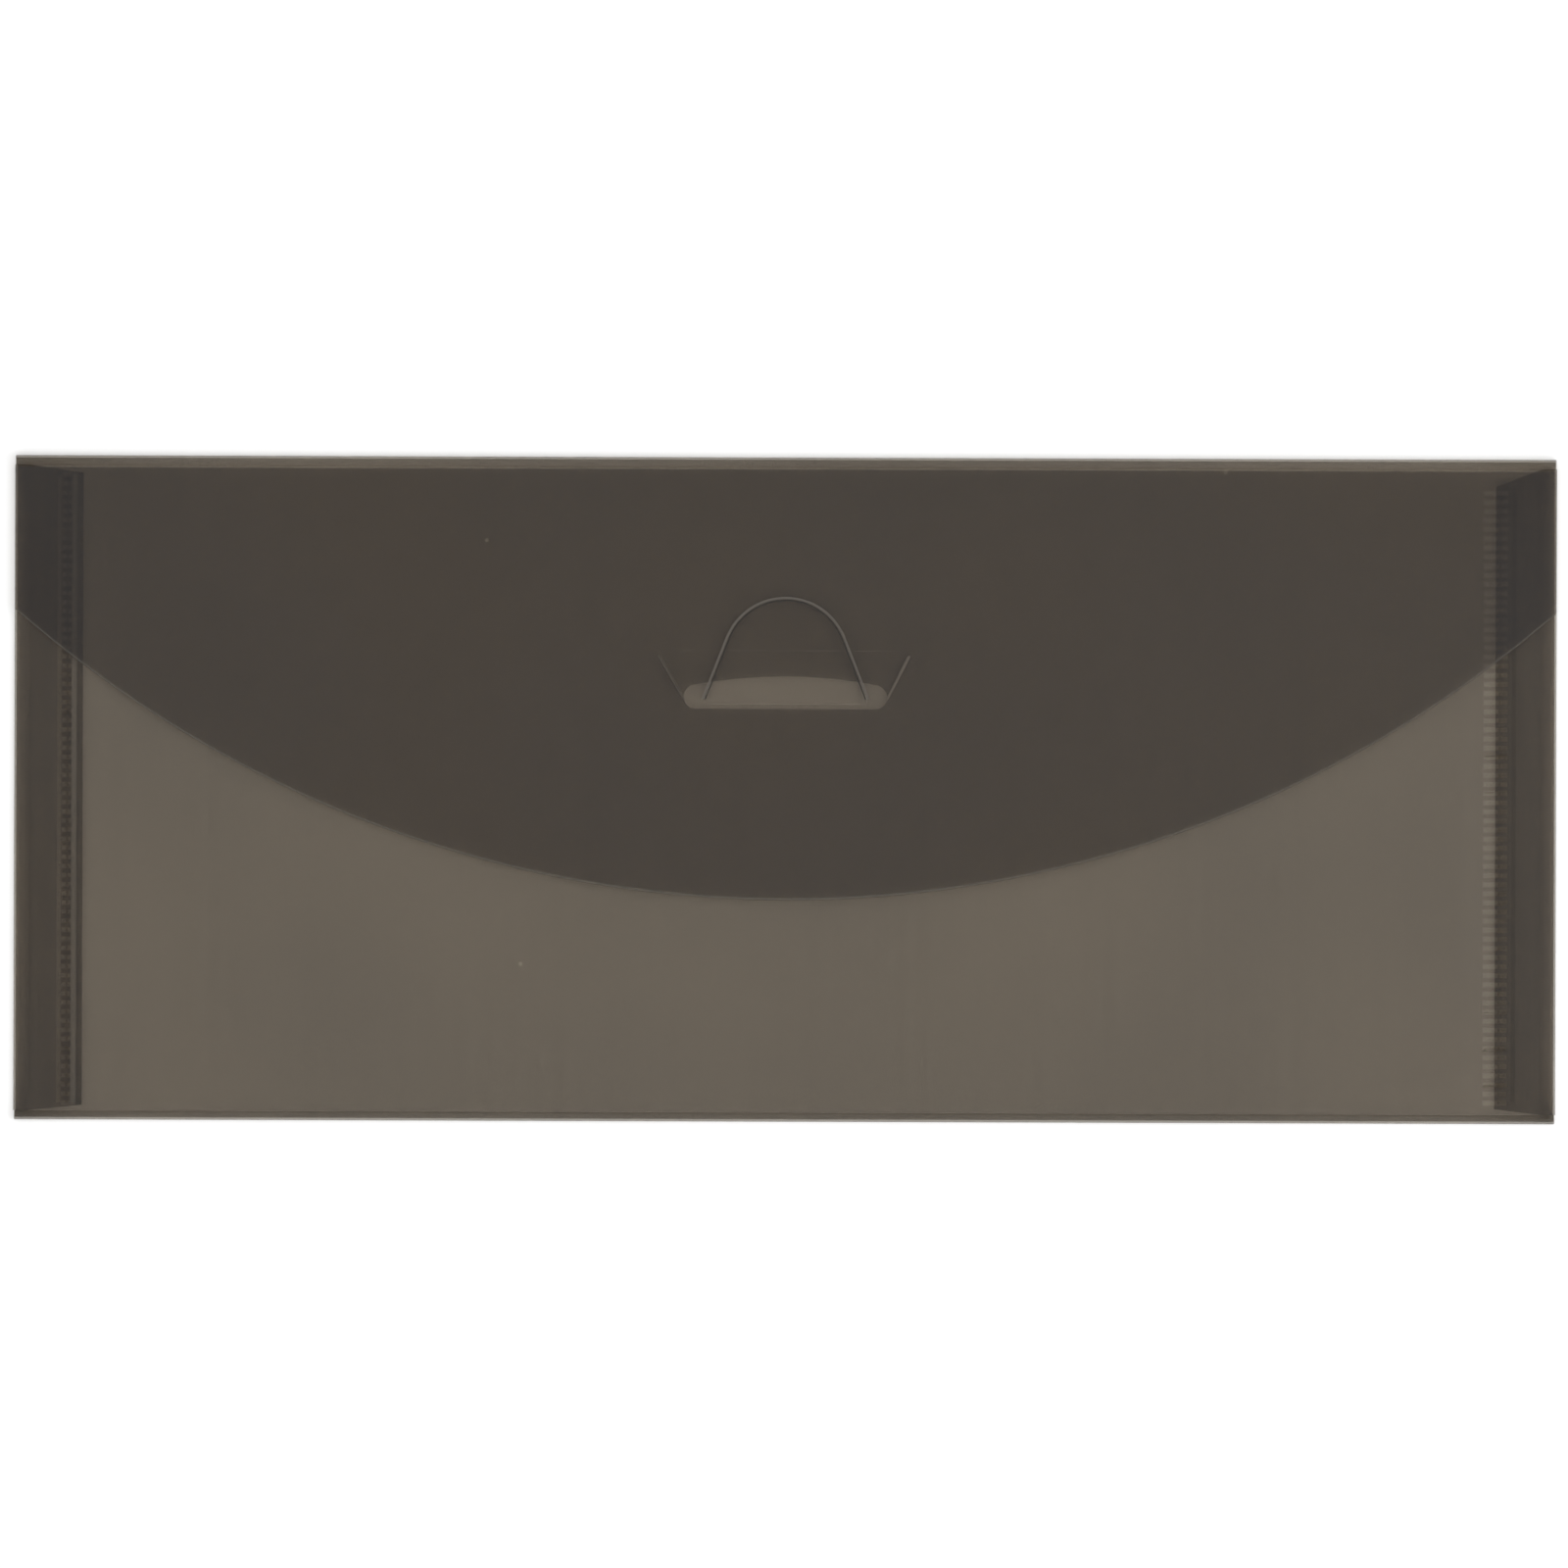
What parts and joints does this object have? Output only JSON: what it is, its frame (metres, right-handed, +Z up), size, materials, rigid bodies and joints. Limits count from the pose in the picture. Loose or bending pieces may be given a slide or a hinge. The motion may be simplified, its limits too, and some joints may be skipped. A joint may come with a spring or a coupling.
{
  "type": "plastic envelope",
  "caption": "Flat translucent smoke plastic envelope for folded letters, with welded side flaps, a curved closure flap on a living hinge and a die-cut tab that tucks into a slot.",
  "frame": {"origin": "under the middle of the back panel, on the plane that the envelope lies on", "axes": "+X along the width, +Y towards the top spine, +Z up through the layers, out of the closed flap"},
  "size_m": [0.2508, 0.108, 0.0025],
  "materials": {
    "smoke_sheet": "smoke-tinted see-through polypropylene sheet, satin",
    "creased_sheet": "the same sheet, bent and slightly paled",
    "weld": "two sheets melted together in dashes"
  },
  "bodies": {
    "pocket": {"back_panel": "smoke_sheet", "front_panel": "smoke_sheet", "left_side_flap": "smoke_sheet", "right_side_flap": "smoke_sheet", "bottom_fold": "creased_sheet", "left_side_fold": "creased_sheet", "right_side_fold": "creased_sheet", "left_weld_seam": "weld", "right_weld_seam": "weld"},
    "spine": {"top_spine": "creased_sheet"},
    "flap": {"closure_flap": "smoke_sheet"},
    "tab": {"locking_tab": "smoke_sheet"},
    "lip": {"slot_lip": "smoke_sheet"}
  },
  "joints": [
    {"name": "spine_crease", "type": "hinge", "parent": "pocket", "child": "spine", "pos_m": [0, 0.054, 0], "axis": [-1, 0, 0], "range_deg": [0, 90]},
    {"name": "flap_crease", "type": "hinge", "parent": "spine", "child": "flap", "pos_m": [0, 0.054, 0.0025], "axis": [-1, 0, 0], "range_deg": [0, 90]},
    {"name": "tab_hinge", "type": "hinge", "parent": "flap", "child": "tab", "pos_m": [0, 0.0147, 0.0025], "axis": [-1, 0, 0], "range_deg": [-90, 0], "stiffness_Nm_per_rad": 0.0002},
    {"name": "lip_hinge", "type": "hinge", "parent": "pocket", "child": "lip", "pos_m": [0, 0.0218, 0.0014], "axis": [1, 0, 0], "range_deg": [0, 8], "stiffness_Nm_per_rad": 0.0001}
  ],
  "couplings": [
    {"joint": "spine_crease", "follows": "flap_crease", "ratio": 1}
  ]
}
